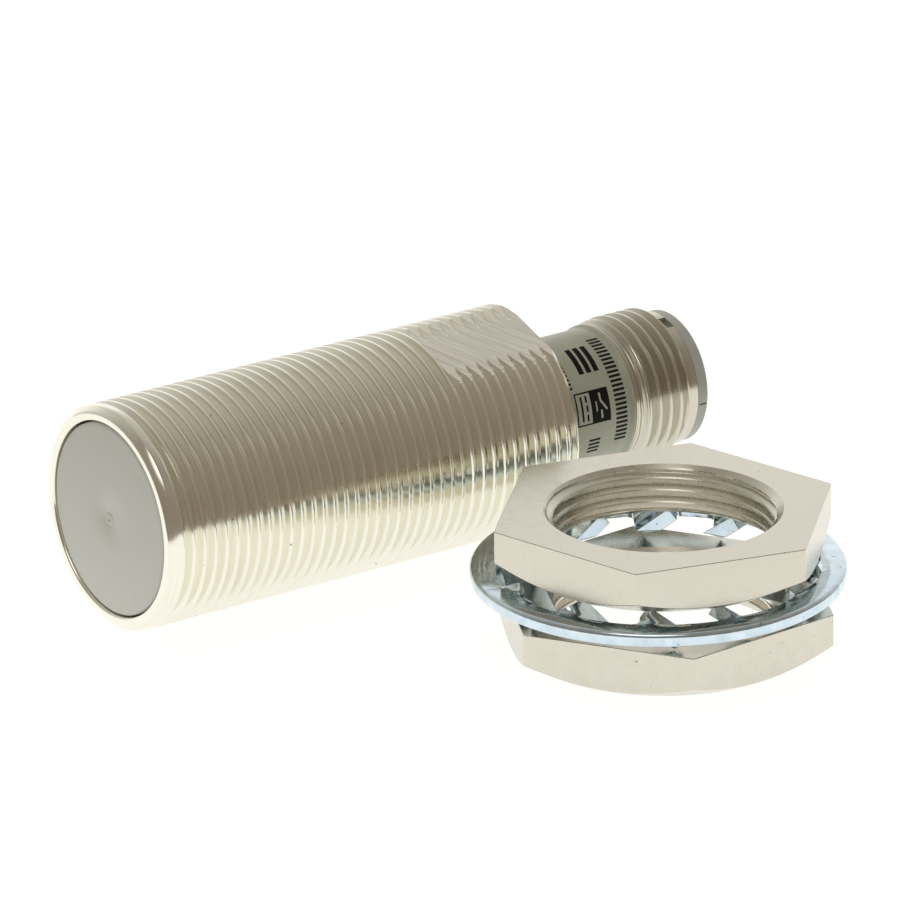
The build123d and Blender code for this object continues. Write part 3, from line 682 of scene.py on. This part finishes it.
# --- sensing face --------------------------------------------------------------------------------
def make_face():
    """The face cap again, with a softened rim and a moulded gate mark."""
    skin = Skin()
    columns = even_columns(160)
    r = (CAP_HI.y - CAP_LO.y) / 2 - 0.06 * MM
    mark = [(0.10, 0.0), (0.07, 0.22), (0.0, 0.28), (0.0, 0.42), (0.05, 0.48), (0.06, 0.62), (0.0, 0.70)]
    outline = [(x * MM, radius * MM) for x, radius in mark]
    outline += [(0.0, 3 * MM), (0.0, r - 0.35 * MM), (0.02 * MM, r - 0.12 * MM), (0.10 * MM, r - 0.02 * MM)]
    outline += [(0.25 * MM, r), (CAP_HI.x, r), (CAP_HI.x, r - 0.45 * MM)]
    outline += [(0.8 * MM, r - 0.45 * MM), (0.8 * MM, 0.0)]
    lathe(skin, along_x, columns, outline)
    piece = skin.build("sensing_face_moulded", 45)
    piece.data.materials.append(FACE_PLASTIC)
    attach(piece, "sensor")
    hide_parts("sensing_face_cap")


# --- neck ----------------------------------------------------------------------------------------
def make_neck():
    """Label neck with the lip that blends out of it, its flange and the seal groove inside the barrel."""
    x0, x1 = NECK_LO.x, NECK_HI.x
    flange_r = (NECK_HI.y - NECK_LO.y) / 2
    flange_x1 = x0 + FLANGE_T
    seal_lo, seal_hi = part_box("body_seal")
    groove_r = flange_r - 0.75 * MM
    seal_x, seal_half = (seal_lo.x + seal_hi.x) / 2, (seal_hi.x - seal_lo.x) / 2 + 0.1 * MM
    lip = [(x1 - 0.66 * MM, 0), (x1 - 0.55 * MM, 0.03), (x1 - 0.45 * MM, 0.10), (x1 - 0.36 * MM, 0.18)]
    lip += [(x1 - 0.26 * MM, 0.225), (x1 - 0.14 * MM, 0.235), (x1 - 0.06 * MM, 0.20), (x1 - 0.01 * MM, 0.12)]
    lip += [(x1, 0.02)]
    outline = [(x0, NECK_BORE_R), (x0, flange_r - 0.1 * MM), (x0 + 0.1 * MM, flange_r)]
    outline += [(seal_x - seal_half, flange_r), (seal_x - seal_half, groove_r)]
    outline += [(seal_x + seal_half, groove_r), (seal_x + seal_half, flange_r)]
    outline += [(flange_x1, flange_r), (flange_x1, NECK_R)]
    outline += [(x, NECK_R + rise * MM) for x, rise in lip]
    outline += [(x1, NECK_BORE_R), (x0, NECK_BORE_R)]
    skin = Skin()
    lathe(skin, along_x, even_columns(180), outline)
    piece = skin.build("neck_moulded", 40)
    piece.data.materials.append(NECK_PLASTIC)
    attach(piece, "sensor")
    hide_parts("neck_sleeve")


PRINT_TOP = 0.012 * MM
PRINT_ROOT = 0.03 * MM


def stroke(skin, points, width, top=PRINT_TOP, radius=NECK_R):
    """Thin curved slab along a line of (x in mm, angle in degrees) points on the neck."""
    line = np.array([(x * MM, radius * math.radians(a)) for x, a in points])
    dense = [line[0]]
    for a, b in zip(line[:-1], line[1:]):
        steps = max(1, math.ceil(np.linalg.norm(b - a) / (0.2 * MM)))
        dense += [a + (b - a) * (i + 1) / steps for i in range(steps)]
    line = np.array(dense)
    run = np.gradient(line, axis=0)
    run /= np.linalg.norm(run, axis=1)[:, None]
    side = np.stack([-run[:, 1], run[:, 0]], -1)
    count = max(2, math.ceil(width / 0.2) + 1)
    across = np.linspace(-0.5, 0.5, count) * width * MM
    flat = line[:, None, :] + side[:, None, :] * across[None, :, None]
    angle = flat[..., 1] / radius
    upper = along_x(flat[..., 0], angle, radius + top)
    lower = along_x(flat[..., 0], angle, radius - PRINT_ROOT)
    skin.grid(np.concatenate([upper, lower[:, ::-1]], 1))
    for row in (0, -1):
        skin.grid(np.stack([upper[row], lower[row]]), closed=False)


def outline_box(skin, x0, x1, a0, a1, width):
    """Four strokes round a rectangle, meeting at its corners."""
    pad = math.degrees(width * MM / 2 / NECK_R)
    for x in (x0, x1):
        stroke(skin, [(x, a0 - pad), (x, a1 + pad)], width)
    for a in (a0, a1):
        stroke(skin, [(x0 + width / 2, a), (x1 - width / 2, a)], width)


def make_print():
    """Generic marks in place of the lettering: three thick bars, two boxed symbols and even rows of bars."""
    ink = Skin()
    # boxed symbols: direct current (solid over dashed line) and an open contact on black
    outline_box(ink, 40.36, 41.78, 151.6, 179.0, 0.12)
    stroke(ink, [(40.85, 154.5), (40.85, 176.0)], 0.17)
    for a in (154.5, 162.5, 170.5):
        stroke(ink, [(41.32, a), (41.32, a + 5.5)], 0.17)
    stroke(ink, [(42.63, 151.0), (42.63, 179.6)], 1.66)
    # block of three thick bars
    for x in (41.75, 42.45, 43.15):
        stroke(ink, [(x, 109.0), (x, 136.0)], 0.46)
    # even rows of bars: beside the lip, half hidden behind the barrel's end, and at the front
    for a in np.arange(104.0, 203.0, 4.0):
        stroke(ink, [(43.98, a), (45.04, a)], 0.2)
    for a in np.arange(106.0, 147.0, 4.0):
        stroke(ink, [(39.6, a), (40.38, a)], 0.18)
    for a in np.arange(195.0, 208.0, 4.0):
        stroke(ink, [(41.5, a), (42.55, a)], 0.19)
    marks = ink.build("neck_print", 40)
    marks.data.materials.append(INK)
    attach(marks, "sensor")
    gaps = Skin()
    raised = PRINT_TOP * 1.8
    stroke(gaps, [(42.63, 154.5), (42.63, 161.0), (43.15, 169.5)], 0.17, raised)
    stroke(gaps, [(42.63, 169.0), (42.63, 176.0)], 0.17, raised)
    stroke(gaps, [(42.2, 161.0), (42.2, 169.5)], 0.12, raised)
    symbol = gaps.build("neck_print_gaps", 40)
    symbol.data.materials.append(PALE_INK)
    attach(symbol, "sensor")


def make_rim_mark():
    """Fine moulding line across the insert's end rim."""
    skin = Skin()
    rim_r = (INSERT_HI.y - INSERT_LO.y) / 2
    end = INSERT_HI.x / MM
    stroke(skin, [(end - 0.86, 188.0), (end - 0.2, 188.0)], 0.09, 0.006 * MM, rim_r)
    piece = skin.build("insert_rim_mark", 40)
    piece.data.materials.append(INK)
    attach(piece, "sensor")


# --- studio --------------------------------------------------------------------------------------
SHEET_X = (-0.035, 0.05, 0.18)
SHEET_Y = (-0.09, 0.05, 0.30)


def make_floor():
    """Pale sheet, self-lit so that it stays white under the object; the dim room begins past its edge."""
    skin = Skin()
    x, y = np.meshgrid(SHEET_X, SHEET_Y, indexing="ij")
    skin.grid(np.stack([x, y, np.full(x.shape, FLOOR_Z)], -1), closed=False)
    floor = skin.build("floor", 40)
    look, tree, shader = start_look("sweep_white", Roughness=0.9, Specular_IOR_Level=0.1,
                                    Emission_Strength=0.86)
    shader.inputs["Emission Color"].default_value = (1.0, 1.0, 0.985, 1)
    shades = [(0.3, (0.34, 0.34, 0.335)), (0.7, (0.36, 0.36, 0.355))]
    paper = ramp(tree, noise(tree, place_vector(tree), 30.0), shades)
    tree.links.new(paper, shader.inputs["Base Color"])
    floor.data.materials.append(look)


def make_world():
    """Studio round the object: bright behind to the right, dim and warm in front to the left."""
    world = bpy.data.worlds.new("studio")
    bpy.context.scene.world = world
    world.use_nodes = True
    tree = world.node_tree
    ground = tree.nodes["Background"]
    source = tree.nodes.new("ShaderNodeTexCoord")
    split = tree.nodes.new("ShaderNodeSeparateXYZ")
    tree.links.new(source.outputs["Generated"], split.inputs["Vector"])
    behind = tree.nodes.new("ShaderNodeVectorMath")
    behind.operation = "DOT_PRODUCT"
    behind.inputs[1].default_value = (0.45, 0.89, 0)
    tree.links.new(source.outputs["Generated"], behind.inputs[0])
    half = tree.nodes.new("ShaderNodeMath")
    half.operation = "MULTIPLY_ADD"
    half.inputs[1].default_value = 0.5
    half.inputs[2].default_value = 0.5
    tree.links.new(behind.outputs["Value"], half.inputs[0])
    walls = ramp(tree, half.outputs[0], [(0.20, (0.26, 0.22, 0.185)), (0.38, (0.30, 0.26, 0.22)),
                                         (0.50, (0.32, 0.285, 0.24)), (0.635, (0.41, 0.38, 0.335)),
                                         (0.81, (0.68, 0.66, 0.62)), (0.96, (1.05, 1.04, 1.02))])
    ceiling = ramp(tree, half.outputs[0], [(0.40, (0.30, 0.27, 0.23)), (0.60, (0.44, 0.42, 0.38)),
                                           (0.81, (0.56, 0.54, 0.495))])
    above = ramp(tree, split.outputs["Z"], [(0.35, 0.0), (0.75, 1.0)])
    room = blend_colour(tree, "MIX", above, walls, ceiling)
    toward = tree.nodes.new("ShaderNodeVectorMath")
    toward.operation = "DOT_PRODUCT"
    toward.inputs[1].default_value = (-0.433, -0.403, 0.806)
    tree.links.new(source.outputs["Generated"], toward.inputs[0])
    window = ramp(tree, toward.outputs["Value"], [(0.93, 0.0), (0.975, 1.0)])
    mixed = blend_colour(tree, "MIX", window, room, (1.6, 1.56, 1.48))
    path = tree.nodes.new("ShaderNodeLightPath")
    seen = blend_colour(tree, "MIX", path.outputs["Is Camera Ray"], mixed, (1.0, 1.0, 1.0))
    tree.links.new(seen, ground.inputs["Color"])


def make_light():
    """Large soft light overhead."""
    lamp = bpy.data.lights.new("overhead", "AREA")
    lamp.shape = "DISK"
    lamp.size = 0.7
    lamp.energy = 1.6
    holder = bpy.data.objects.new("overhead", lamp)
    holder.location = (0.0, 0.15, 0.9)
    holder.rotation_euler = (Vector((0.03, -0.01, 0)) - holder.location).to_track_quat("-Z", "Y").to_euler()
    holder.visible_glossy = False
    bpy.context.scene.collection.objects.link(holder)


def make_camera():
    """Long lens a little above and to the left of the sensing face."""
    azimuth, elevation, roll = math.radians(-34.35), math.radians(21.34), math.radians(-0.56)
    distance, target = 0.8523, Vector((0.02952, -0.00332, 0.0))
    level = Vector((math.sin(azimuth), -math.cos(azimuth), 0))
    back = level * math.cos(elevation) + Vector((0, 0, math.sin(elevation)))
    right = Vector((math.cos(azimuth), math.sin(azimuth), 0))
    up = back.cross(right)
    across = right * math.cos(roll) + up * math.sin(roll)
    upward = up * math.cos(roll) - right * math.sin(roll)
    lens = bpy.data.cameras.new("view")
    lens.sensor_width = 36.0
    lens.lens = 436.8
    lens.clip_end = 20.0
    camera = bpy.data.objects.new("view", lens)
    turn = Matrix((across, upward, back)).transposed()
    camera.matrix_world = Matrix.Translation(target + back * distance) @ turn.to_4x4()
    bpy.context.scene.collection.objects.link(camera)
    bpy.context.scene.camera = camera


# --- build ---------------------------------------------------------------------------------------
make_camera()
make_barrel()
make_connector_ring()
make_nut("upper_nut")
make_nut("lower_nut")
make_washer()
make_face()
make_neck()
make_print()
make_rim_mark()
for node_name, node_look in INNER_LOOKS.items():
    node = frame["nodes"][node_name]
    node.data.materials.clear()
    node.data.materials.append(node_look)
make_floor()
make_world()
make_light()
bpy.context.scene.view_settings.view_transform = "Standard"
